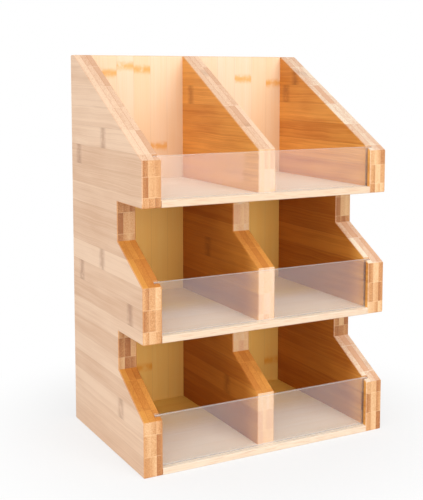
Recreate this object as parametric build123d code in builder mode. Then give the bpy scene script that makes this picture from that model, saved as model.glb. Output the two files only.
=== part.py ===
"""Three-tier countertop organiser: two stepped bamboo sides, a divider, three shelves,
a back panel and three clear panes that lift out of grooves.

The origin is the middle of the footprint, on the surface it stands on. +X is to the right,
+Y to the back and +Z up. All sizes are in millimetres.
"""
from build123d import *
import math
import os

os.makedirs("parts", exist_ok=True)

# ---- Driving dimensions ----------------------------------------------------------------

# Whole organiser
width = 282.0  # over the outer faces of the sides
depth = 189.0  # front edges to back
height = 406.0  # surface to the top of the sides

# Board and pane thicknesses
side_thickness = 20.0
divider_thickness = 20.0
back_thickness = 9.0
shelf_thickness = 7.0
pane_thickness = 3.0

# Stepped outline that the sides and the divider share
tier_pitch = 130.2  # underside of one shelf to the underside of the next
lower_front_height = 54.8  # front edge of a lower tier, above its shelf's underside
top_front_height = 45.2  # front edge of the top tier, above its shelf's underside
notch_depth = 61.0  # how far the mouth over a lower tier is cut back
lower_slope = 30.5  # degrees, from a lower tier's front edge up to its notch
top_land = 10.5  # level stretch left at the back of the top slope
corner_radius = 1.5  # outline's outer corners
arris = 0.8  # edges taken off all round the boards

# Panes and their grooves
groove_setback = 4.5  # sides' front edges to the groove
groove_depth = 6.0
pane_side_play = 0.5  # groove wall to pane, each face
pane_end_play = 0.5  # groove bottom to pane, each end
pane_seat_gap = 0.3  # shelf to the pane's lower edge
pane_chamfer = 0.3
divider_setback = 9.0  # sides' front edges to the divider's, which clears the panes

# Joints of the case
fit_gap = 0.1  # glue gap at the ends and flanks of housings, laps and rabbets
housing_depth = 6.0  # shelf ends let into the sides
housing_stop = 14.0  # sides' front edges to the housings, so they stay hidden
rabbet_width = 10.0  # back panel let into the sides, from each inner face

# Countersunk wood screws through the back panel
screw_length = 25.0
screw_radius = 1.75
screw_head_radius = 3.5
screw_head_angle = 90.0  # degrees, whole cone
screw_tip = 4.0
screw_play = 0.1  # round the shank and the head

# ---- Places worked out from them -------------------------------------------------------

tier_names = ["bottom", "middle", "top"]
tier_bases = [tier * tier_pitch for tier in range(len(tier_names))]
top_base = tier_bases[-1]

front_y = -depth / 2
back_y = depth / 2
panel_y = back_y - back_thickness  # front face of the back panel
notch_y = front_y + notch_depth
land_y = back_y - top_land
outer_x = width / 2
inner_x = outer_x - side_thickness

lower_rise = math.tan(math.radians(lower_slope))
top_rise = (height - top_base - top_front_height) / (land_y - front_y)

groove_width = pane_thickness + 2 * pane_side_play
groove_y = front_y + groove_setback + groove_width / 2  # middle of the groove and the pane
housing_y = front_y + housing_stop
divider_y = front_y + divider_setback
lap_y = (divider_y + panel_y) / 2  # where divider slots and shelf slots meet

screw_x = inner_x + rabbet_width / 2
screw_columns = [-screw_x, 0, screw_x]
screw_rows = [base + tier_pitch / 2 for base in tier_bases]
screw_points = [(x, z) for x in screw_columns for z in screw_rows]
screw_head_height = (screw_head_radius - screw_radius) / math.tan(math.radians(screw_head_angle / 2))
pilot_depth = screw_length - back_thickness + screw_play

# Local X is the object's X and local Y its height on both of these planes
panel_front = Plane(origin=(0, panel_y, 0), x_dir=(1, 0, 0), z_dir=(0, -1, 0))
panel_back = Plane(origin=(0, back_y, 0), x_dir=(-1, 0, 0), z_dir=(0, 1, 0))


def front_height(base):
    """Height of the front edge of the tier that stands at base."""
    return base + (top_front_height if base == top_base else lower_front_height)


def edge_height(base, setback):
    """Height of a tier's sloping edge at a distance behind the sides' front edges."""
    return front_height(base) + setback * (top_rise if base == top_base else lower_rise)


def stepped_outline(setback):
    """Draw the outline of an upright board, in depth and height, for a BuildSketch.

    The board's front edges lie at setback behind the front of the organiser. Its outer
    corners are rounded, and the inner corners of its notches stay sharp.
    """
    edge_y = front_y + setback
    corners = [(edge_y, 0)]
    notch_corners = []
    for base in tier_bases[:-1]:
        slope_end = (notch_y, edge_height(base, notch_depth))
        notch_top = (notch_y, base + tier_pitch)
        corners += [
            (edge_y, edge_height(base, setback)),
            slope_end,
            notch_top,
            (edge_y, base + tier_pitch),
        ]
        notch_corners += [slope_end, notch_top]
    corners += [
        (edge_y, edge_height(top_base, setback)),
        (land_y, height),
        (back_y, height),
        (back_y, 0),
    ]
    with BuildSketch() as outline:
        with BuildLine():
            Polyline(*corners, close=True)
        make_face()
        outer = [
            vertex
            for vertex in outline.vertices()
            if all((Vector(vertex) - Vector(*corner)).length > corner_radius for corner in notch_corners)
        ]
        fillet(outer, radius=corner_radius)
    return outline.sketch


def ease_faces(board):
    """Take off the arrises round both flat faces of an upright board."""
    flat_faces = board.faces().sort_by(Axis.X)
    chamfer(flat_faces[0].edges() + flat_faces[-1].edges(), length=arris)


# ---- Sides -----------------------------------------------------------------------------

with BuildPart() as left_side_panel:
    with BuildSketch(Plane.YZ.offset(-outer_x)):
        add(stepped_outline(0))
    extrude(amount=side_thickness)
    ease_faces(left_side_panel)

    # Pane grooves run down from the sloping edge and stop level with the shelf
    for base in tier_bases:
        groove_floor = base + shelf_thickness
        with BuildSketch(Plane.XY.offset(groove_floor)):
            with Locations((-inner_x - groove_depth / 2, groove_y)):
                Rectangle(groove_depth, groove_width)
        extrude(amount=edge_height(base, notch_depth) - groove_floor, mode=Mode.SUBTRACT)

    # Housings for the shelf ends stop short of the front edge and run out into the rabbet
    for base in tier_bases:
        with BuildSketch(Plane.XY.offset(base)):
            with Locations((-inner_x - housing_depth / 2, (housing_y + panel_y) / 2)):
                Rectangle(housing_depth, panel_y - housing_y)
        extrude(amount=shelf_thickness, mode=Mode.SUBTRACT)

    # Rabbet for the back panel
    with BuildSketch(Plane.XY):
        with Locations((-inner_x - rabbet_width / 2, panel_y + back_thickness / 2)):
            Rectangle(rabbet_width, back_thickness)
    extrude(amount=height, mode=Mode.SUBTRACT)

    # Pilot holes for the screws
    with BuildSketch(panel_front):
        with Locations(*[point for point in screw_points if point[0] < 0]):
            Circle(screw_radius + screw_play)
    extrude(amount=pilot_depth, mode=Mode.SUBTRACT)

left_side_panel.part.label = "left_side_panel"

with BuildPart() as right_side_panel:
    mirror(left_side_panel.part, about=Plane.YZ)

right_side_panel.part.label = "right_side_panel"

# ---- Divider ---------------------------------------------------------------------------

with BuildPart() as center_divider:
    with BuildSketch(Plane.YZ.offset(-divider_thickness / 2)):
        add(stepped_outline(divider_setback))
    extrude(amount=divider_thickness)
    ease_faces(center_divider)

    # Slots from the front, each straddling the solid front half of a shelf
    slot_length = lap_y + fit_gap - divider_y
    for base in tier_bases:
        with BuildSketch(Plane.XY.offset(base)):
            with Locations((0, divider_y + slot_length / 2)):
                Rectangle(divider_thickness, slot_length)
        extrude(amount=shelf_thickness, mode=Mode.SUBTRACT)

    # The back panel covers the divider's rear edge
    with BuildSketch(Plane.XY):
        with Locations((0, panel_y + back_thickness / 2)):
            Rectangle(divider_thickness, back_thickness)
    extrude(amount=height, mode=Mode.SUBTRACT)

    with BuildSketch(panel_front):
        with Locations(*[point for point in screw_points if point[0] == 0]):
            Circle(screw_radius + screw_play)
    extrude(amount=pilot_depth, mode=Mode.SUBTRACT)

center_divider.part.label = "center_divider"

# ---- Back panel ------------------------------------------------------------------------

panel_width = 2 * (inner_x + rabbet_width - fit_gap)

with BuildPart() as back_panel:
    with BuildSketch(panel_front):
        with Locations((0, height / 2)):
            Rectangle(panel_width, height)
    extrude(amount=-back_thickness)
    chamfer(back_panel.faces().sort_by(Axis.Z)[-1].edges().filter_by(Axis.X), length=arris)

    with Locations(panel_back):
        with Locations(*screw_points):
            CounterSinkHole(
                radius=screw_radius + screw_play,
                counter_sink_radius=screw_head_radius + screw_play,
                depth=back_thickness,
                counter_sink_angle=screw_head_angle,
            )

back_panel.part.label = "back_panel"

# ---- Shelves ---------------------------------------------------------------------------

shelf_end_x = inner_x + housing_depth - fit_gap


def make_shelf(base):
    """A shelf with its ends shouldered for the housings and slotted from the back."""
    with BuildPart() as shelf:
        with BuildSketch(Plane.XY.offset(base)):
            with Locations((0, (front_y + panel_y) / 2)):
                Rectangle(2 * inner_x, panel_y - front_y)
            with Locations((0, (housing_y + fit_gap + panel_y) / 2)):
                Rectangle(2 * shelf_end_x, panel_y - housing_y - fit_gap)
            with Locations((0, (lap_y + panel_y) / 2)):
                Rectangle(divider_thickness + 2 * fit_gap, panel_y - lap_y, mode=Mode.SUBTRACT)
        extrude(amount=shelf_thickness)
        chamfer(shelf.faces().sort_by(Axis.Y)[0].edges().filter_by(Axis.X), length=arris)
    return shelf.part


# ---- Panes -----------------------------------------------------------------------------

pane_width = 2 * (inner_x + groove_depth - pane_end_play)


def make_pane(base):
    """A clear pane, as tall as the sides' sloping edge at the middle of its grooves."""
    seat = base + shelf_thickness + pane_seat_gap
    with BuildPart() as pane:
        with BuildSketch(Plane.XY.offset(seat)):
            with Locations((0, groove_y)):
                Rectangle(pane_width, pane_thickness)
        extrude(amount=edge_height(base, groove_y - front_y) - seat)
        chamfer(pane.edges(), length=pane_chamfer)
    return pane.part


# ---- Screws ----------------------------------------------------------------------------

with BuildPart() as back_screws:
    for x, z in screw_points:
        with BuildSketch(Plane(origin=(x, back_y, z), x_dir=(1, 0, 0), z_dir=(0, 0, 1))):
            with BuildLine():
                Polyline(
                    (0, 0),
                    (screw_head_radius, 0),
                    (screw_radius, -screw_head_height),
                    (screw_radius, screw_tip - screw_length),
                    (0, -screw_length),
                    close=True,
                )
            make_face()
        revolve(axis=Axis((x, back_y, z), (0, 1, 0)))

back_screws.part.label = "back_screws"

# ---- STEP files ------------------------------------------------------------------------

pieces = [left_side_panel.part, right_side_panel.part, center_divider.part, back_panel.part, back_screws.part]

for name, base in zip(tier_names, tier_bases):
    shelf = make_shelf(base)
    shelf.label = f"{name}_shelf"
    pane = make_pane(base)
    pane.label = f"{name}_pane"
    pieces += [shelf, pane]

for piece in pieces:
    export_step(piece, f"parts/{piece.label}.step")
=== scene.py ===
"""Finishes, back screws and studio stage of a tiered bamboo organiser, laid out as an add-on.

Objects are in metres. Patterns inside the materials are worked out in millimetres.
"""
import math
from dataclasses import dataclass

import bpy
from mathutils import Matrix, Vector


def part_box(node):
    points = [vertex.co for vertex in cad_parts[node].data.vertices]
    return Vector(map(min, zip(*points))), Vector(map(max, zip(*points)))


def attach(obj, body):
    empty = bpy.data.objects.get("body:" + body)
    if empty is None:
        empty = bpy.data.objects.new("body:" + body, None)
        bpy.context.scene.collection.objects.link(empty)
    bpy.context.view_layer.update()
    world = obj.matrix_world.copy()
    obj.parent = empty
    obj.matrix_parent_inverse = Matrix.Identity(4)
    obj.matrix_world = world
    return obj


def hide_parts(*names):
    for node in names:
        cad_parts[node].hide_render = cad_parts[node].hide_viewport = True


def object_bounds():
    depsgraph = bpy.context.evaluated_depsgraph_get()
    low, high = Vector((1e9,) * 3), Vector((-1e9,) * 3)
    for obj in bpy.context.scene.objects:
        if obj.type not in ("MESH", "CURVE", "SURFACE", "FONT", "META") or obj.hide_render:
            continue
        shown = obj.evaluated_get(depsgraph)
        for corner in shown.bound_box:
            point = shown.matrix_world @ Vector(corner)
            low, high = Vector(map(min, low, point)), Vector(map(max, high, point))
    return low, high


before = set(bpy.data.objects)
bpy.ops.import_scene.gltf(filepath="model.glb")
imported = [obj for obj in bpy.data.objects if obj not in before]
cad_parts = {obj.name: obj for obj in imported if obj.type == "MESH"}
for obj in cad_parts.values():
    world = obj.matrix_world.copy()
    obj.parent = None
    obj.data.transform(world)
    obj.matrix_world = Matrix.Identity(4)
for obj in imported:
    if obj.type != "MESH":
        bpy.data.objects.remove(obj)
cad_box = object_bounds()

bl_info = {
    "name": "Tiered Bamboo Organiser",
    "version": (1, 0, 0),
    "blender": (4, 5, 0),
    "location": "View3D > Sidebar > Organiser",
    "description": "Finishes a tiered bamboo organiser with clear panes and sets its studio stage",
    "category": "Object",
}

MM = 0.001
PHOTO_HEIGHT = 500  # pixels
SENSOR_WIDTH = 36.0  # millimetres
TIERS = ("bottom", "middle", "top")
PLAIN_VIEWS = ("Is Camera Ray", "Is Glossy Ray", "Is Transmission Ray")  # rays that see plain white

# Bamboo: length along the grain and width across it of each pattern, in millimetres
SWAY_SIZE = (42, 18)
STREAK_SIZE = (150, 0.9)
BAND_SIZE = (260, 4.5)
MOTTLE_SIZE = (55, 12)
RAGGED_SIZE = (5, 4)
PATCH_SIZE = (7, 7)
BUNDLE_LENGTH = 26
BLOCK_SHIFTS = (31, 17)  # lengths of the streaks and bands within which each block starts anew

# Bamboo: other sizes, in millimetres
SWAY = 4  # how far the fibres sway
RAGGED = 4  # how far the ends of a node's mark stray
STRIP_WIDTH = 20.5  # usual width of one strip
BOARD_BAR = 11.0  # reach of a node's mark on the sides and the divider
THIN_BAR = 7.0  # the same on the back panel and the shelves
HAIR = 0.001  # added to a ply, so that a board's far face still lies in its last one
SHADE_RUN = 40  # length over which the painted shade of the lower tiers grows to full
SHADED_END_START = 15  # how far behind the front edges the painted shade of the end grain starts
SHELF_MARGIN = (1, 5)  # below the top shelf's surface, where the lower tiers' painted shade sets in

# Bamboo: numbers without a unit
LOOKUP = 32  # strips that a colour ramp can tell apart
BOARD_PLIES = 3  # of the sides and the divider
SQUARE_ON = (0.6, 0.9)  # share of an axis in a surface's direction, from not at all to fully facing it
LINE_FADE = (1.6, 0.4)  # half widths of a glue line between which it fades in
BUNDLE_FADE = (0.42, 0.2)  # the same for a fibre bundle, in bundle spacings
PATCHY = (0.15, 0.55)  # noise between which a node's mark comes through
LACQUER_ROUGHNESS = 0.46
LACQUER_GLOSS = 0.4
GRAIN_RELIEF = 0.05 * MM

# Acrylic
ACRYLIC_IOR = 1.49
STRAIGHT_GLOSS = ((ACRYLIC_IOR - 1) / (ACRYLIC_IOR + 1)) ** 2  # share reflected when seen straight on
SHADOW_LOSS = 0.8  # share of its shadow that a pane doesn't cast

# Screws
SCREW_SIDES = 32
SMOOTH_BELOW = math.radians(35)
THREAD_ROOT = (0.2, 0.75)  # shares of one turn between which the thread's root lies
POINT_SHARE = 0.04  # the point's radius against the shank's
WING_TAPER = 1 / 3  # the recess at its bottom against its mouth
WING_WIDTH = 0.3  # of one wing against its length
SCRATCH_RELIEF = 0.01 * MM

# Stage, in metres: place, width and height of each lamp
LAMPS = {
    "key": ((0.3, -1.2, 2.0), 1.2, 1.2),
    "front": ((0.4, -2.3, 0.5), 1.6, 1.0),
    "side": ((-1.7, -0.1, 0.3), 1.2, 0.5),
    "fill": ((-1.3, -0.9, 1.2), 1.2, 1.2),
}
FLOOR_SIDES = 96
FLOOR_GREY = 0.9
NEAR_WHITE = 0.7  # share of plain white in the floor beside the organiser
WHITE_RUN = (130, 330)  # millimetres from the middle over which the floor turns plain white


# ---- Places read from the frame --------------------------------------------------------


def reach(node, axis):
    """Lowest and highest place of a node along x, y or z, in millimetres."""
    low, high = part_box(node)
    number = "xyz".index(axis)
    return low[number] / MM, high[number] / MM


# ---- Settings --------------------------------------------------------------------------


def linear(shown):
    """One channel of a linear colour from the 0 to 255 that a screen shows."""
    share = shown / 255
    return ((share + 0.055) / 1.055) ** 2.4 if share > 0.04045 else share / 12.92


def tint(name, description, *shown):
    """A colour property whose default is given as a screen shows it."""
    default = tuple(linear(value) for value in shown)
    return bpy.props.FloatVectorProperty(
        name=name, description=description, subtype="COLOR", min=0, max=1, default=default
    )


def length_setting(name, description, millimetres):
    """A length property whose default is given in millimetres."""
    return bpy.props.FloatProperty(
        name=name, description=description, default=millimetres * MM, unit="LENGTH"
    )


def power_setting(name, description, watts):
    """A lamp's power property."""
    return bpy.props.FloatProperty(name=name, description=description, default=watts, unit="POWER")


def share_setting(name, description, default):
    """A property between nothing and all."""
    return bpy.props.FloatProperty(name=name, description=description, default=default, min=0, max=1)


class BambooSettings(bpy.types.PropertyGroup):
    """Colours and pattern sizes of the bamboo."""

    outer_light: tint("Outer Light", "Palest strips of the sides' outer faces", 234, 200, 169)
    outer_deep: tint("Outer Deep", "Darkest strips of the sides' outer faces", 210, 167, 132)
    inner_light: tint("Inner Light", "Palest strips of the faces inside the bins", 250, 184, 92)
    inner_deep: tint("Inner Deep", "Darkest strips of the faces inside the bins", 210, 132, 50)
    # Painted shade of the faces inside the lower tiers' bins
    inner_painted_shade: tint("Inner Shade", "Deeper tone of those faces in the lower tiers", 206, 182, 148)
    end_light: tint("End Grain Light", "Palest blocks of the end grain", 238, 196, 148)
    end_mid: tint("End Grain Middle", "Common tone of the end grain", 214, 156, 102)
    end_dark: tint("End Grain Dark", "Darkest blocks of the end grain", 172, 108, 58)
    # Painted shade of the end grain in the lower tiers' notches
    end_painted_shade: tint("End Grain Shade", "Deeper tone of the end grain in the notches", 226, 223, 216)
    slope_light: tint("Slope Light", "Palest plies along the sloping edges", 249, 213, 179)
    slope_dark: tint("Slope Dark", "Darkest plies along the sloping edges", 226, 176, 138)
    # Painted shade of the sloping edges in the lower tiers
    slope_painted_shade: tint(
        "Slope Shade", "Deeper tone of the sloping edges in the lower tiers", 228, 184, 102
    )
    back_light: tint("Back Light", "Palest strips of the back panel", 248, 222, 192)
    back_deep: tint("Back Deep", "Darkest strips of the back panel", 247, 213, 170)
    # Painted shade of the back panel in the lower tiers
    back_painted_shade: tint("Back Shade", "Deeper tone of the back panel in the lower tiers", 255, 238, 158)
    shelf_light: tint("Shelf Light", "Palest strips of the shelves", 255, 244, 228)
    shelf_deep: tint("Shelf Deep", "Darkest strips of the shelves", 251, 233, 208)
    # Painted shade of the shelves towards the back of the bins
    shelf_painted_shade: tint("Shelf Shade", "Deeper tone of the shelves inside the bins", 254, 236, 150)
    shelf_edge_light: tint(
        "Shelf Edge Light", "Palest strips of the shelves' front edges", 238, 218, 194
    )
    shelf_edge_deep: tint(
        "Shelf Edge Deep", "Darkest strips of the shelves' front edges", 228, 200, 170
    )
    glue: tint("Glue Line", "Thin joints between the blocks of the end grain", 252, 218, 174)
    node_mark: tint("Node Mark", "Marks where the cane had its nodes", 150, 104, 76)
    back_mark: tint("Back Mark", "The same marks on the back panel", 246, 208, 126)
    bundle: tint("Fibre Bundle", "Dots of the cut fibre bundles", 206, 122, 48)
    node_period: length_setting("Node Period", "Distance between two nodes of one strip", 342)
    bundle_spacing: length_setting("Bundle Spacing", "Distance between fibre bundles", 1.1)
    joint_width: length_setting("Joint Width", "Width of the glue line between strips", 0.5)


class PaneSettings(bpy.types.PropertyGroup):
    """The clear acrylic of the panes."""

    body: tint("Body", "Colour of the light that the acrylic scatters", 240, 242, 242)
    haze: share_setting("Haze", "Share of light that one surface scatters", 0.055)
    edge_haze: share_setting("Edge Haze", "The same for the polished edges", 0.45)


class ScrewSettings(bpy.types.PropertyGroup):
    """The countersunk screws of the back panel."""

    steel: tint("Zinc Plating", "Colour of the plated steel", 212, 208, 196)
    head_radius: length_setting("Head Radius", "Radius of the countersunk head", 3.5)
    shank_radius: length_setting("Shank Radius", "Radius of the plain shank and of the thread", 1.75)
    core_radius: length_setting("Core Radius", "Radius at the root of the thread", 1.25)
    shank_length: length_setting("Shank Length", "Plain part between head and thread", 6.0)
    tip_length: length_setting("Tip Length", "Part that tapers to the point", 4.0)
    pitch: length_setting("Pitch", "Distance between two ridges of the thread", 1.6)
    recess_width: length_setting("Recess Width", "Across the wings of the cross recess", 4.0)
    recess_depth: length_setting("Recess Depth", "Depth of the cross recess", 1.6)


class StageSettings(bpy.types.PropertyGroup):
    """Camera, floor and lamps."""

    focal_length: bpy.props.FloatProperty(
        name="Focal Length", description="Lens of the camera", default=68.77, unit="CAMERA"
    )
    principal_row: bpy.props.FloatProperty(
        name="Principal Row",
        description="Picture row that the lens looks straight at, in pixels",
        default=175,
    )
    camera_place: bpy.props.FloatVectorProperty(
        name="Camera Place",
        description="Where the camera stands",
        default=(-0.49568, -0.89972, 0.38413),
        subtype="TRANSLATION",
    )
    camera_yaw: bpy.props.FloatProperty(
        name="Camera Yaw",
        description="Turn of the view to the right",
        default=math.radians(27.97),
        subtype="ANGLE",
    )
    camera_pitch: bpy.props.FloatProperty(
        name="Camera Pitch",
        description="Tilt of the view",
        default=math.radians(-5.96),
        subtype="ANGLE",
    )
    floor_radius: bpy.props.FloatProperty(
        name="Floor Radius", description="Radius of the round floor", default=8.0, unit="LENGTH"
    )
    key_power: power_setting("Key Power", "Large lamp above the front", 11.0)
    front_power: power_setting("Front Power", "Large lamp that reaches into the bins", 22.5)
    side_power: power_setting("Side Power", "Low lamp on the left", 7.5)
    fill_power: power_setting("Fill Power", "Lamp above the front left", 6.5)
    sky: bpy.props.FloatProperty(
        name="Sky", description="Strength of the room's light", default=0.48, min=0
    )


# ---- Materials in Python's own arithmetic ----------------------------------------------


class Field:
    """A node's output whose arithmetic adds Math nodes to its material."""

    def __init__(self, recipe, socket):
        self.recipe = recipe
        self.socket = socket

    def math(self, operation, *values, clamp=False):
        """The output of a Math node."""
        return self.recipe.add("ShaderNodeMath", {"operation": operation, "use_clamp": clamp}, values)

    def __add__(self, other):
        return self.math("ADD", self, other)

    def __radd__(self, other):
        return self.math("ADD", other, self)

    def __sub__(self, other):
        return self.math("SUBTRACT", self, other)

    def __rsub__(self, other):
        return self.math("SUBTRACT", other, self)

    def __mul__(self, other):
        return self.math("MULTIPLY", self, other)

    def __rmul__(self, other):
        return self.math("MULTIPLY", other, self)

    def __truediv__(self, other):
        return self.math("DIVIDE", self, other)

    def __lt__(self, other):
        return self.math("LESS_THAN", self, other)

    def __gt__(self, other):
        return self.math("GREATER_THAN", self, other)

    def __pow__(self, other):
        return self.math("POWER", self, other)

    def __abs__(self):
        return self.math("ABSOLUTE", self)

    def __mod__(self, other):
        return self.math("FLOORED_MODULO", self, other)

    def floor(self):
        return self.math("FLOOR", self)

    def clamp(self):
        return self.math("ADD", self, 0, clamp=True)

    def centred(self, width):
        """A number from 0 to 1 as a shift round 0, of this width from end to end."""
        return (self - 0.5) * width


class Recipe:
    """The nodes of a material or of the room's light, under construction."""

    def __init__(self, owner):
        self.owner = owner
        owner.use_nodes = True
        self.tree = owner.node_tree
        self.tree.nodes.clear()

    def add(self, kind, settings=None, inputs=(), output=0):
        """Add a node, set it, then fill its inputs by place or by name. Gives its output."""
        node = self.tree.nodes.new(kind)
        for name, value in (settings or {}).items():
            if name == "stops":
                self.set_stops(node.color_ramp, value)
            elif name == "points":
                self.set_points(node.mapping, value)
            elif name == "interpolation":
                node.color_ramp.interpolation = value
            else:
                setattr(node, name, value)
        pairs = inputs.items() if isinstance(inputs, dict) else enumerate(inputs)
        for key, value in pairs:
            if isinstance(value, Field):
                self.tree.links.new(value.socket, node.inputs[key])
            else:
                node.inputs[key].default_value = value
        return Field(self, node.outputs[output]) if len(node.outputs) else None

    @staticmethod
    def set_stops(ramp, stops):
        """Give a colour ramp its (place, colour) stops, in order."""
        while len(ramp.elements) < len(stops):
            ramp.elements.new(1)
        for element, (place, colour) in zip(ramp.elements, stops):
            element.position = place
            element.color = (*colour, 1)

    @staticmethod
    def set_points(mapping, points):
        """Give a curve its straight runs through (from, to) points, in order."""
        curve = mapping.curves[0]
        while len(curve.points) < len(points):
            curve.points.new(1, 1)
        for point, place in zip(curve.points, points):
            point.location = place
            point.handle_type = "VECTOR"
        mapping.update()

    def place(self):
        """The x, y and z of a surface point, in millimetres."""
        metres = self.add("ShaderNodeTexCoord", output="Object")
        inputs = {"Vector": metres, "Scale": 1 / MM}
        return self.split(self.add("ShaderNodeVectorMath", {"operation": "SCALE"}, inputs))

    def facing(self):
        """The x, y and z of the surface's outward direction."""
        return self.split(self.add("ShaderNodeTexCoord", output="Normal"))

    def split(self, vector):
        """The three parts of a vector."""
        parts = self.add("ShaderNodeSeparateXYZ", inputs=[vector])
        node = parts.socket.node
        return [Field(self, output) for output in node.outputs]

    def join(self, x, y, z):
        """A vector of three values."""
        return self.add("ShaderNodeCombineXYZ", inputs=[x, y, z])

    def noise(self, x, y, z, detail=2.0, roughness=0.5):
        """Smooth noise round 0.5 at a point."""
        inputs = {"Vector": self.join(x, y, z), "Scale": 1, "Detail": detail, "Roughness": roughness}
        return self.add("ShaderNodeTexNoise", inputs=inputs)

    def cells(self, x, y, z):
        """Distance to the middle of the nearest of many scattered cells."""
        inputs = {"Vector": self.join(x, y, z), "Scale": 1}
        return self.add("ShaderNodeTexVoronoi", inputs=inputs, output="Distance")

    def draws(self, x, y, z):
        """Three random numbers for a cell of a grid."""
        colour = self.add("ShaderNodeTexWhiteNoise", inputs=[self.join(x, y, z)], output="Color")
        return self.split(colour)

    def ease(self, value, start, end):
        """From 0 at start smoothly to 1 at end, whichever of the two is larger."""
        settings = {"interpolation_type": "SMOOTHSTEP"}
        if start > end:
            return 1 - self.add("ShaderNodeMapRange", settings, {"Value": value, 1: end, 2: start})
        return self.add("ShaderNodeMapRange", settings, {"Value": value, 1: start, 2: end})

    def ramp(self, value, stops, interpolation="LINEAR"):
        """The colour at a value between (place, colour) stops."""
        return self.add("ShaderNodeValToRGB", {"stops": stops, "interpolation": interpolation}, [value])

    def curve(self, value, points):
        """Straight runs through (from, to) points, all between 0 and 1."""
        return self.add("ShaderNodeFloatCurve", {"points": points}, {"Value": value})

    def mix(self, share, first, second, blend="MIX"):
        """Mix two colours."""
        colours = [(*value, 1) if isinstance(value, tuple) else value for value in (first, second)]
        inputs = {0: share, 6: colours[0], 7: colours[1]}
        return self.add("ShaderNodeMix", {"data_type": "RGBA", "blend_type": blend}, inputs, output=2)

    def bump(self, height, distance, strength):
        """A surface direction from a height."""
        inputs = {"Height": height, "Distance": distance, "Strength": strength}
        return self.add("ShaderNodeBump", inputs=inputs)

    def rays(self, *kinds):
        """1 for rays of any of these kinds and 0 for others."""
        path = self.add("ShaderNodeLightPath").socket.node
        seen = [Field(self, path.outputs[kind]) for kind in kinds]
        share = seen[0]
        for other in seen[1:]:
            share = share.math("MAXIMUM", share, other)
        return share

    def finish(self, **inputs):
        """Close the material with a Principled shader, whose inputs are named with underscores."""
        named = {name.replace("_", " "): value for name, value in inputs.items()}
        shader = self.add("ShaderNodeBsdfPrincipled", inputs=named)
        self.add("ShaderNodeOutputMaterial", inputs=[shader])
        return self.owner


# ---- Bamboo ----------------------------------------------------------------------------


@dataclass
class Lay:
    """How the strips of one board lie: its axes, joints, plies and the node marks that show."""

    axes: str  # along the grain, across the strips and through the plies
    run: tuple  # lowest and highest place along the grain
    joints: dict  # strip number: place across of the joint that it starts from
    face: float  # place of the first ply's outer face
    ply: float  # thickness of one ply
    seed: float
    bar: float  # reach of a node's mark along the grain
    marks: dict  # strip number: place along the grain of its node, for the first ply only


@dataclass
class Finish:
    """Colours of one board, from dark to light, and the painted shade of its lower tiers."""

    faces: tuple
    ends: tuple
    slopes: tuple
    mark: tuple  # the cane's nodes
    mark_share: float = 0.45
    outer: tuple = None  # the flat face that looks away from the bins
    outer_side: int = 0
    face_painted_shade: tuple = (1, 1, 1)  # painted shade: tone multiplied into the faces deep in the lower tiers' bins
    slope_painted_shade: tuple = (1, 1, 1)
    end_painted_shade: tuple = (1, 1, 1)
    shaded_face_start: float = 0.0  # how far behind the front edges the faces' painted shade starts
    slope_paled: float = -SHADE_RUN  # here the sloping edges carry full painted shade from the front edges on


def drawn_out(along, across, through, size):
    """A place, counted in lengths of a pattern along the grain and in its widths across it."""
    pattern_length, pattern_width = size
    return along / pattern_length, across / pattern_width, through / pattern_width


def strip_places(recipe, lay, across):
    """The strip that a place lies in, as a number with its fraction."""
    places = sorted(lay.joints.items())
    low = places[0][1]
    span = places[-1][1] - low
    points = [((place - low) / span, number / LOOKUP) for number, place in places]
    return recipe.curve((across - low) / span, points) * LOOKUP


def node_bars(recipe, lay, period, strip, ply, chance, along, ragged):
    """Where the nodes of the cane cross a strip, from 0 to 1."""
    low, high = lay.run
    length = high - low
    stops = [(0, (0, 0, 0))]
    for number, place in sorted(lay.marks.items()):
        share = (place - low) / length
        if stops[-1][0] == number / LOOKUP:
            stops.pop()
        stops.append((number / LOOKUP, (share, share, share)))
        stops.append(((number + 1) / LOOKUP, (0, 0, 0)))
    listed = recipe.ramp((strip + 0.5) / LOOKUP, stops, "CONSTANT")
    first = (ply < 0.5) * (ply > -0.5)
    place = first * (low + listed * length) + (1 - first) * (low + chance * period)
    bare = first * (listed < 0.001)
    apart = abs((along - place + period / 2) % period - period / 2)
    return recipe.ease(apart + ragged, lay.bar, 0) * (1 - bare)


def painted_shade_share(recipe, place, paled):
    """Painted shade: how deep a place lies in the lower tiers' bins, from 0 to 1."""
    shelf_surface = reach("top_shelf", "z")[1]
    start = reach("left_side_panel", "y")[0] + paled
    below = recipe.ease(place["z"], *(shelf_surface - margin for margin in SHELF_MARGIN))
    return below * recipe.ease(place["y"], start, start + SHADE_RUN)


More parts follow.
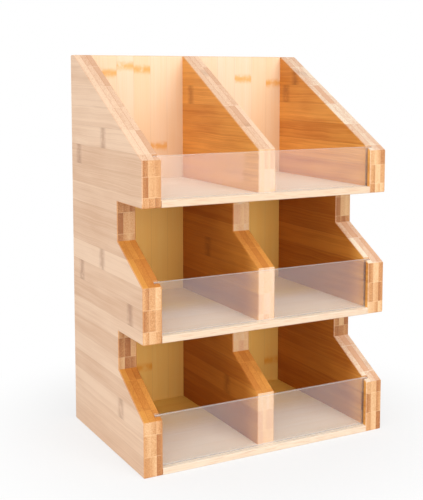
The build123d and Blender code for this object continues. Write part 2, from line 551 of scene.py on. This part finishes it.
def bamboo(name, lay, finish, settings):
    """Strips of bamboo glued side by side and in plies, cut from one solid pattern."""
    recipe = Recipe(bpy.data.materials.new(name))
    place = dict(zip("xyz", recipe.place()))
    turn = dict(zip("xyz", recipe.facing()))
    along, across, through = (place[letter] for letter in lay.axes)

    # The block of one strip in one ply, and three numbers drawn for it
    strip_place = strip_places(recipe, lay, across)
    strip = strip_place.floor()
    ply_place = (through - lay.face) / lay.ply
    ply = ply_place.floor()
    tone, lean, chance = recipe.draws(strip + 0.5, ply + 0.5, lay.seed)

    # Fibres run along the grain, sway a little and start anew in each block
    sway = recipe.noise(*drawn_out(along, across, through, SWAY_SIZE))
    bent = across + sway.centred(SWAY)
    streak_shift, band_shift = BLOCK_SHIFTS
    run, side, inward = drawn_out(along, bent, through, STREAK_SIZE)
    streak = recipe.noise(run + tone * streak_shift, side, inward, detail=3, roughness=0.6)
    run, side, inward = drawn_out(along, bent, through, BAND_SIZE)
    band = recipe.noise(run + lean * band_shift, side, inward)
    mottle = recipe.noise(*drawn_out(along, across, through, MOTTLE_SIZE), detail=3)

    # Fibre bundles, denser towards one side of each block
    bundle_size = (BUNDLE_LENGTH, settings.bundle_spacing / MM)
    bundles = recipe.ease(recipe.cells(*drawn_out(along, bent, through, bundle_size)), *BUNDLE_FADE)
    inside = ply_place - ply
    dense = lean * inside + (1 - lean) * (1 - inside)

    # Glue lines between strips and between plies
    half = settings.joint_width / MM / 2
    fade = [half * widths for widths in LINE_FADE]
    strip_line = recipe.ease((0.5 - abs(strip_place - strip - 0.5)) * STRIP_WIDTH, *fade)
    ply_line = recipe.ease((0.5 - abs(inside - 0.5)) * lay.ply, *fade)

    # Node bars, soft along their edges and patchy
    ragged = recipe.noise(*drawn_out(along, across, through, RAGGED_SIZE), detail=3).centred(RAGGED)
    patches = recipe.ease(recipe.noise(*drawn_out(along, across, through, PATCH_SIZE)), *PATCHY)
    bar = node_bars(recipe, lay, settings.node_period / MM, strip, ply, chance, along, ragged) * patches

    # Which way the surface was cut
    flat = recipe.ease(abs(turn[lay.axes[2]]), *SQUARE_ON)
    end = recipe.ease(abs(turn[lay.axes[0]]), *SQUARE_ON)

    # Flat faces
    grain = streak.centred(1.3) + band.centred(0.8) + mottle.centred(0.7)
    face_tone = 0.5 + tone.centred(0.6) + grain
    face_colour = recipe.ramp(face_tone, [(0.1, finish.faces[0]), (0.9, finish.faces[1])])
    # Painted shade: the faces deepen behind the front edges of the lower tiers
    depth = painted_shade_share(recipe, place, finish.shaded_face_start)
    face_colour = recipe.mix(depth, face_colour, finish.face_painted_shade, "MULTIPLY")
    if finish.outer:
        outer_tone = 0.5 + tone.centred(0.5) + grain * 0.8
        outer_colour = recipe.ramp(outer_tone, [(0.1, finish.outer[0]), (0.8, finish.outer[1])])
        outward = recipe.ease(turn[lay.axes[2]] * finish.outer_side, 0.3, 0.7)
        face_colour = recipe.mix(outward, face_colour, outer_colour)
    face_colour = recipe.mix(strip_line * 0.15, face_colour, tuple(settings.node_mark))

    # End grain, dotted by the bundles
    end_tone = 0.5 + tone.centred(0.8) - dense.centred(0.5) + streak.centred(1.2)
    end_colour = recipe.ramp(end_tone, list(zip((0.1, 0.5, 0.9), finish.ends)))
    end_colour = recipe.mix(bundles * (0.15 + 0.4 * dense), end_colour, tuple(settings.bundle))
    glued = (strip_line + ply_line * 0.4).clamp() * 0.45
    end_colour = recipe.mix(glued, end_colour, tuple(settings.glue))
    # Painted shade of the end grain in the lower tiers' notches
    depth = painted_shade_share(recipe, place, SHADED_END_START)
    end_colour = recipe.mix(depth, end_colour, finish.end_painted_shade, "MULTIPLY")

    # Sloping edges, whose plies show as stripes flecked by the bundles
    stripe, _, _ = recipe.draws(0.5, ply + 0.5, lay.seed + 20)
    slope_tone = 0.5 + tone.centred(0.8) + stripe.centred(0.6) + streak.centred(1.6) + band.centred(0.6)
    slope_colour = recipe.ramp(slope_tone, [(0.1, finish.slopes[0]), (0.8, finish.slopes[1])])
    slope_colour = recipe.mix(bundles * (0.1 + 0.35 * dense), slope_colour, tuple(settings.bundle))
    slope_colour = recipe.mix(ply_line * 0.6, slope_colour, finish.slopes[0], "MULTIPLY")
    slope_colour = recipe.mix(strip_line * 0.5, slope_colour, finish.slopes[1])
    # Painted shade of the sloping edges in the lower tiers
    depth = painted_shade_share(recipe, place, finish.slope_paled)
    slope_colour = recipe.mix(depth, slope_colour, finish.slope_painted_shade, "MULTIPLY")

    # All three on one board, with the marks of the nodes
    colour = recipe.mix(flat, recipe.mix(end, slope_colour, end_colour), face_colour)
    marked = bar * finish.mark_share * (0.5 + 0.5 * flat) * (1 - end)
    colour = recipe.mix(marked, colour, finish.mark, "MULTIPLY")
    relief = streak * 0.6 + bundles * 0.4 - (strip_line + ply_line) * 0.5 + bar * 0.4
    return recipe.finish(
        Base_Color=colour,
        Roughness=LACQUER_ROUGHNESS + streak.centred(0.25) + end * 0.08,
        Normal=recipe.bump(relief, GRAIN_RELIEF, 0.6),
        Specular_IOR_Level=LACQUER_GLOSS,
    )


def dress(node, material):
    """Put a material on a node of the frame."""
    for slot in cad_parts[node].material_slots:
        slot.material = material


def board_lay(node, axes, joints, seed, bar, marks, plies=1):
    """The lay of a board of equal plies. Strips between two listed joints share the room."""
    low, high = reach(node, axes[2])
    return Lay(axes, reach(node, axes[0]), joints, low, (high - low) / plies + HAIR, seed, bar, marks)


def upright_lay(node, seed, marks):
    """The lay of a side or the divider: grain from front to back, plies across its width."""
    joints = {0: 0.0, 1: 20.7, 2: 42.2, 7: 142.8, 8: 163.9, 13: 270.5, 14: 290.2, 20: 414.0}
    return board_lay(node, "yzx", joints, seed, BOARD_BAR, marks, BOARD_PLIES)


def end_grain(settings):
    """The tones of the end grain, from dark to light."""
    return tuple(settings.end_dark), tuple(settings.end_mid), tuple(settings.end_light)


def board_finish(settings, **changes):
    """The finish of a side or the divider."""
    return Finish(
        faces=(tuple(settings.inner_deep), tuple(settings.inner_light)),
        ends=end_grain(settings),
        slopes=(tuple(settings.slope_dark), tuple(settings.slope_light)),
        mark=tuple(settings.node_mark),
        # Painted shade of the lower tiers, on faces, sloping edges and end grain
        face_painted_shade=tuple(settings.inner_painted_shade),
        slope_painted_shade=tuple(settings.slope_painted_shade),
        end_painted_shade=tuple(settings.end_painted_shade),
        **changes,
    )


class ORGANISER_OT_finish_sides(bpy.types.Operator):
    """Give the two stepped sides their three-ply bamboo"""

    bl_idname = "organiser.finish_sides"
    bl_label = "Finish Sides"

    def execute(self, context):
        settings = context.scene.organiser_bamboo
        outer = (tuple(settings.outer_deep), tuple(settings.outer_light))
        left_marks = {2: -38.4, 7: -63.8, 8: 67.8, 9: 8.3, 14: 72.2, 15: 1.9}
        left = upright_lay("left_side_panel", 33504.0, left_marks)
        finish = board_finish(settings, outer=outer, outer_side=-1)
        dress("left_side_panel", bamboo("left_side_bamboo", left, finish, settings))
        right = upright_lay("right_side_panel", 52799.0, {17: 71.4, 18: 52.1})
        # The right board's sloping edges take the painted shade only from 60 mm behind the front
        finish = board_finish(settings, outer=outer, outer_side=1, slope_paled=60)
        finish.slopes = (tuple(settings.slope_dark), tuple(settings.shelf_deep))
        dress("right_side_panel", bamboo("right_side_bamboo", right, finish, settings))
        return {"FINISHED"}


class ORGANISER_OT_finish_divider(bpy.types.Operator):
    """Give the divider its three-ply bamboo"""

    bl_idname = "organiser.finish_divider"
    bl_label = "Finish Divider"

    def execute(self, context):
        settings = context.scene.organiser_bamboo
        # The mark of strip 17, near the back panel in the top tier, is painted shade in the corner
        # where the divider meets the back panel, drawn as a node's mark
        lay = upright_lay("center_divider", 39991.0, {2: -20.9, 9: 23.1, 17: 65.1})
        finish = board_finish(settings)
        finish.ends = (finish.slopes[0], finish.ends[2], tuple(settings.outer_light))
        dress("center_divider", bamboo("divider_bamboo", lay, finish, settings))
        return {"FINISHED"}


class ORGANISER_OT_finish_back(bpy.types.Operator):
    """Give the back panel its upright strips"""

    bl_idname = "organiser.finish_back"
    bl_label = "Finish Back Panel"

    def execute(self, context):
        settings = context.scene.organiser_bamboo
        joints = {
            0: -132.0, 2: -91.1, 3: -70.7, 4: -50.3, 6: -9.5, 9: 58.4, 10: 80.9, 11: 101.3, 13: 142.0,
        }
        marks = {1: 386.6, 2: 394.4, 3: 390.6, 4: 304.1, 9: 379.8, 11: 374.9}
        lay = board_lay("back_panel", "zxy", joints, 2.0, THIN_BAR, marks)
        strips = (tuple(settings.back_deep), tuple(settings.back_light))
        finish = Finish(
            faces=strips,
            ends=end_grain(settings),
            slopes=strips,
            mark=tuple(settings.back_mark),
            mark_share=0.9,
            outer=(tuple(settings.slope_dark), tuple(settings.shelf_deep)),
            outer_side=1,
            # Painted shade of the back panel in the lower tiers
            face_painted_shade=tuple(settings.back_painted_shade),
        )
        dress("back_panel", bamboo("back_bamboo", lay, finish, settings))
        return {"FINISHED"}


class ORGANISER_OT_finish_shelves(bpy.types.Operator):
    """Give the shelves strips that run from side to side"""

    bl_idname = "organiser.finish_shelves"
    bl_label = "Finish Shelves"

    def execute(self, context):
        settings = context.scene.organiser_bamboo
        finish = Finish(
            faces=(tuple(settings.shelf_deep), tuple(settings.shelf_light)),
            ends=end_grain(settings),
            slopes=(tuple(settings.shelf_edge_deep), tuple(settings.shelf_edge_light)),
            mark=tuple(settings.back_mark),
            mark_share=0.5,
            # Painted shade towards the back of the shelves, from 75 mm behind the front edges
            face_painted_shade=tuple(settings.shelf_painted_shade),
            shaded_face_start=75,
            slope_paled=75,
        )
        for seed, tier in enumerate(TIERS, start=11):
            node = f"{tier}_shelf"
            front, back = reach(node, "y")
            joints = {0: front - 6.0, 10: back + 20.0}
            lay = board_lay(node, "xyz", joints, seed, THIN_BAR, {})
            dress(node, bamboo(f"{node}_bamboo", lay, finish, settings))
        return {"FINISHED"}


# ---- Panes -----------------------------------------------------------------------------


class ORGANISER_OT_finish_panes(bpy.types.Operator):
    """Give the three panes their clear acrylic"""

    bl_idname = "organiser.finish_panes"
    bl_label = "Finish Panes"

    def execute(self, context):
        settings = context.scene.organiser_panes
        recipe = Recipe(bpy.data.materials.new("clear_acrylic"))
        x, y, z = recipe.place()
        edge = recipe.ease(abs(recipe.facing()[1]), 0.9, 0.6)

        # Faint clouds, and level scuffs from wiping
        cloud = recipe.noise(x / 45, y / 45, z / 45, detail=4)
        scuffs = recipe.ease(recipe.noise(x / 22, y, z / 0.6, detail=3, roughness=0.7), 0.66, 0.76)
        haze = settings.haze + (settings.edge_haze - settings.haze) * edge + cloud.centred(0.04)

        # What the surface reflects, which grows with the slant of the view, is opaque too
        slant = recipe.add("ShaderNodeLayerWeight", inputs={"Blend": 0.5}, output="Facing")
        gloss = STRAIGHT_GLOSS + (1 - STRAIGHT_GLOSS) * slant**5
        veil = haze + (1 - haze) * gloss + scuffs * 0.03
        material = recipe.finish(
            Base_Color=(*settings.body, 1),
            Roughness=0.04 + scuffs * 0.2 + edge * 0.1,
            Alpha=(veil * (1 - SHADOW_LOSS * recipe.rays("Is Shadow Ray"))).clamp(),
            IOR=ACRYLIC_IOR,
            Coat_Weight=1.0,
        )
        for tier in TIERS:
            dress(f"{tier}_pane", material)
        return {"FINISHED"}


# ---- Screws ----------------------------------------------------------------------------


class ORGANISER_OT_drive_screws(bpy.types.Operator):
    """Drive nine countersunk screws into the back panel"""

    bl_idname = "organiser.drive_screws"
    bl_label = "Drive Screws"

    def execute(self, context):
        settings = context.scene.organiser_screws
        low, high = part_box("back_screws")
        radius = settings.head_radius
        first = self.turn_screw(settings, high[1] - low[1])
        self.cut_recess(first, settings)
        bpy.ops.object.shade_smooth_by_angle(angle=SMOOTH_BELOW)
        first.data.materials.clear()
        first.data.materials.append(self.plated_steel(settings))

        columns = (low[0] + radius, (low[0] + high[0]) / 2, high[0] - radius)
        rows = (low[2] + radius, (low[2] + high[2]) / 2, high[2] - radius)
        places = [(x, high[1], z) for x in columns for z in rows]
        for number, place in enumerate(places, start=1):
            bpy.ops.object.select_all(action="DESELECT")
            first.select_set(True)
            bpy.context.view_layer.objects.active = first
            bpy.ops.object.duplicate(linked=False)
            screw = bpy.context.object
            screw.name = f"back_screw_{number}"
            bpy.ops.transform.translate(value=place)
            bpy.ops.object.transform_apply(location=True, rotation=True, scale=True)
            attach(screw, "case")
            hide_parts("back_screws")
        bpy.data.objects.remove(first)
        return {"FINISHED"}

    def turn_screw(self, settings, length):
        """One screw with its head's face at the origin, pointing along -Y."""
        head, shank, core = settings.head_radius, settings.shank_radius, settings.core_radius
        thread_length = length - settings.tip_length - settings.shank_length
        turns = round(thread_length / settings.pitch)
        step = thread_length / turns
        profile = [(head - shank, shank), (settings.shank_length, shank)]
        for turn in range(turns):
            start = settings.shank_length + turn * step
            profile += [(start + step * place, core) for place in THREAD_ROOT]
            profile.append((start + step, shank))
        profile.append((length, shank * POINT_SHARE))

        bpy.ops.object.select_all(action="DESELECT")
        bpy.ops.mesh.primitive_circle_add(
            vertices=SCREW_SIDES, radius=head, fill_type="NGON", rotation=(math.pi / 2, 0, 0)
        )
        screw = bpy.context.object
        bpy.ops.object.transform_apply(location=False, rotation=True, scale=False)
        bpy.ops.object.mode_set(mode="EDIT")
        bpy.ops.mesh.select_all(action="SELECT")
        depth, radius = 0.0, head
        for next_depth, next_radius in profile:
            inward = (0, depth - next_depth, 0)
            bpy.ops.mesh.extrude_region_move(TRANSFORM_OT_translate={"value": inward})
            growth = next_radius / radius
            bpy.ops.transform.resize(value=(growth, 1, growth), center_override=(0, -next_depth, 0))
            depth, radius = next_depth, next_radius
        bpy.ops.mesh.select_all(action="SELECT")
        bpy.ops.mesh.normals_make_consistent(inside=False)
        bpy.ops.object.mode_set(mode="OBJECT")
        return screw

    def cut_recess(self, screw, settings):
        """Cut the two crossed wings of the recess, which narrow with depth."""
        mouth = settings.recess_width / 2
        for turn in (0, math.pi / 2):
            bpy.ops.object.select_all(action="DESELECT")
            bpy.ops.mesh.primitive_cone_add(
                vertices=4,
                radius1=mouth,
                radius2=mouth * WING_TAPER,
                depth=settings.recess_depth * 2,
                rotation=(math.pi / 2, 0, 0),
            )
            wing = bpy.context.object
            # Two eighth turns leave the square as it is, but a hair off the head's own vertices,
            # which keeps the cut free of faces without area
            for _ in range(2):
                bpy.ops.transform.rotate(
                    value=math.pi / 4, orient_axis="Y", center_override=(0, 0, 0)
                )
                bpy.ops.object.transform_apply(location=False, rotation=True, scale=True)
            bpy.ops.transform.resize(value=(1, 1, WING_WIDTH), center_override=(0, 0, 0))
            bpy.ops.transform.rotate(value=turn, orient_axis="Y", center_override=(0, 0, 0))
            bpy.ops.object.transform_apply(location=True, rotation=True, scale=True)
            cut = screw.modifiers.new("recess", "BOOLEAN")
            cut.operation = "DIFFERENCE"
            cut.solver = "EXACT"
            cut.object = wing
            bpy.ops.object.select_all(action="DESELECT")
            screw.select_set(True)
            bpy.context.view_layer.objects.active = screw
            bpy.ops.object.modifier_apply(modifier=cut.name)
            bpy.data.objects.remove(wing)

    def plated_steel(self, settings):
        """Zinc plating with fine scratches along the screw's height."""
        recipe = Recipe(bpy.data.materials.new("zinc_plated_steel"))
        x, y, z = recipe.place()
        rubbed = recipe.noise(x / 0.15, y / 0.15, z / 2.5, detail=3, roughness=0.7)
        scratches = recipe.ease(rubbed, 0.45, 0.75)
        cloud = recipe.noise(x / 1.5, y / 1.5, z / 1.5, detail=3)
        bright = tuple(settings.steel)
        dull = tuple(channel * 0.7 for channel in bright)
        return recipe.finish(
            Base_Color=recipe.mix(cloud * 0.5, bright, dull),
            Metallic=1.0,
            Roughness=0.26 + cloud * 0.12 + scratches * 0.2,
            Normal=recipe.bump(scratches, SCRATCH_RELIEF, 0.5),
        )


# ---- Stage -----------------------------------------------------------------------------


class ORGANISER_OT_build_stage(bpy.types.Operator):
    """Set the camera, the floor, the lamps and the room's light"""

    bl_idname = "organiser.build_stage"
    bl_label = "Build Stage"

    def execute(self, context):
        settings = context.scene.organiser_stage
        self.set_camera(context.scene, settings)
        self.lay_floor(settings)
        self.hang_lamps(settings)
        self.light_room(context.scene, settings)
        context.scene.view_settings.view_transform = "Standard"
        return {"FINISHED"}

    def set_camera(self, scene, settings):
        """Stand the camera at the front left, with a lens shift that keeps uprights nearly upright."""
        tilt = (math.pi / 2 + settings.camera_pitch, 0, -settings.camera_yaw)
        bpy.ops.object.camera_add(location=settings.camera_place, rotation=tilt)
        camera = bpy.context.object
        camera.name = "photo_camera"
        camera.data.sensor_width = SENSOR_WIDTH
        camera.data.lens = settings.focal_length
        camera.data.shift_y = (settings.principal_row - PHOTO_HEIGHT / 2) / PHOTO_HEIGHT
        scene.camera = camera

    def lay_floor(self, settings):
        """A round floor of pale paper that turns plain white away from the organiser."""
        bpy.ops.object.select_all(action="DESELECT")
        bpy.ops.mesh.primitive_circle_add(
            vertices=FLOOR_SIDES, radius=settings.floor_radius, fill_type="NGON"
        )
        floor = bpy.context.object
        floor.name = "floor"
        recipe = Recipe(bpy.data.materials.new("floor_paper"))
        x, y, z = recipe.place()
        outward = [recipe.join(x, y, 0)]
        distance = recipe.add("ShaderNodeVectorMath", {"operation": "LENGTH"}, outward, output="Value")
        grey = (FLOOR_GREY, FLOOR_GREY, FLOOR_GREY, 1)
        paper = recipe.add("ShaderNodeBsdfDiffuse", inputs={"Color": grey})
        glow = recipe.add("ShaderNodeEmission", inputs={"Color": (1, 1, 1, 1), "Strength": 1.0})
        white = NEAR_WHITE + (1 - NEAR_WHITE) * recipe.ease(distance, *WHITE_RUN)
        seen = recipe.rays(*PLAIN_VIEWS) * white
        surface = recipe.add("ShaderNodeMixShader", inputs=[seen, paper, glow])
        recipe.add("ShaderNodeOutputMaterial", inputs=[surface])
        floor.data.materials.append(recipe.owner)

    def hang_lamps(self, settings):
        """Hang the soft lamps, all turned to the organiser's middle and hidden from the camera."""
        target = (cad_box[0] + cad_box[1]) / 2
        for name, (place, width, height) in LAMPS.items():
            turn = (target - Vector(place)).to_track_quat("-Z", "Y").to_euler()
            bpy.ops.object.light_add(type="AREA", location=place, rotation=turn)
            lamp = bpy.context.object
            lamp.name = f"{name}_lamp"
            lamp.data.shape = "RECTANGLE"
            lamp.data.size = width
            lamp.data.size_y = height
            lamp.data.energy = getattr(settings, f"{name}_power")
            lamp.visible_camera = False

    def light_room(self, scene, settings):
        """A white room that is seen at full strength and lights more softly."""
        recipe = Recipe(bpy.data.worlds.new("white_room"))
        strength = settings.sky + (1 - settings.sky) * recipe.rays(*PLAIN_VIEWS)
        background = recipe.add("ShaderNodeBackground", inputs=[(1, 1, 1, 1), strength])
        recipe.add("ShaderNodeOutputWorld", inputs=[background])
        scene.world = recipe.owner


# ---- Add-on ----------------------------------------------------------------------------


class VIEW3D_PT_organiser(bpy.types.Panel):
    """Lists the steps that finish the organiser"""

    bl_idname = "VIEW3D_PT_organiser"
    bl_label = "Tiered Organiser"
    bl_space_type = "VIEW_3D"
    bl_region_type = "UI"
    bl_category = "Organiser"

    def draw(self, context):
        for operator in OPERATORS:
            self.layout.operator(operator.bl_idname)


SETTINGS = {
    "organiser_bamboo": BambooSettings,
    "organiser_panes": PaneSettings,
    "organiser_screws": ScrewSettings,
    "organiser_stage": StageSettings,
}
OPERATORS = [
    ORGANISER_OT_build_stage,
    ORGANISER_OT_finish_sides,
    ORGANISER_OT_finish_divider,
    ORGANISER_OT_finish_back,
    ORGANISER_OT_finish_shelves,
    ORGANISER_OT_finish_panes,
    ORGANISER_OT_drive_screws,
]


def register():
    for kind in [*SETTINGS.values(), *OPERATORS, VIEW3D_PT_organiser]:
        bpy.utils.register_class(kind)
    for name, kind in SETTINGS.items():
        setattr(bpy.types.Scene, name, bpy.props.PointerProperty(type=kind))


def unregister():
    for name in SETTINGS:
        delattr(bpy.types.Scene, name)
    for kind in [VIEW3D_PT_organiser, *reversed(OPERATORS), *reversed(SETTINGS.values())]:
        bpy.utils.unregister_class(kind)


def main():
    """Run every step in order."""
    register()
    for operator in OPERATORS:
        group, name = operator.bl_idname.split(".")
        getattr(getattr(bpy.ops, group), name)()


if __name__ == "__main__":
    main()
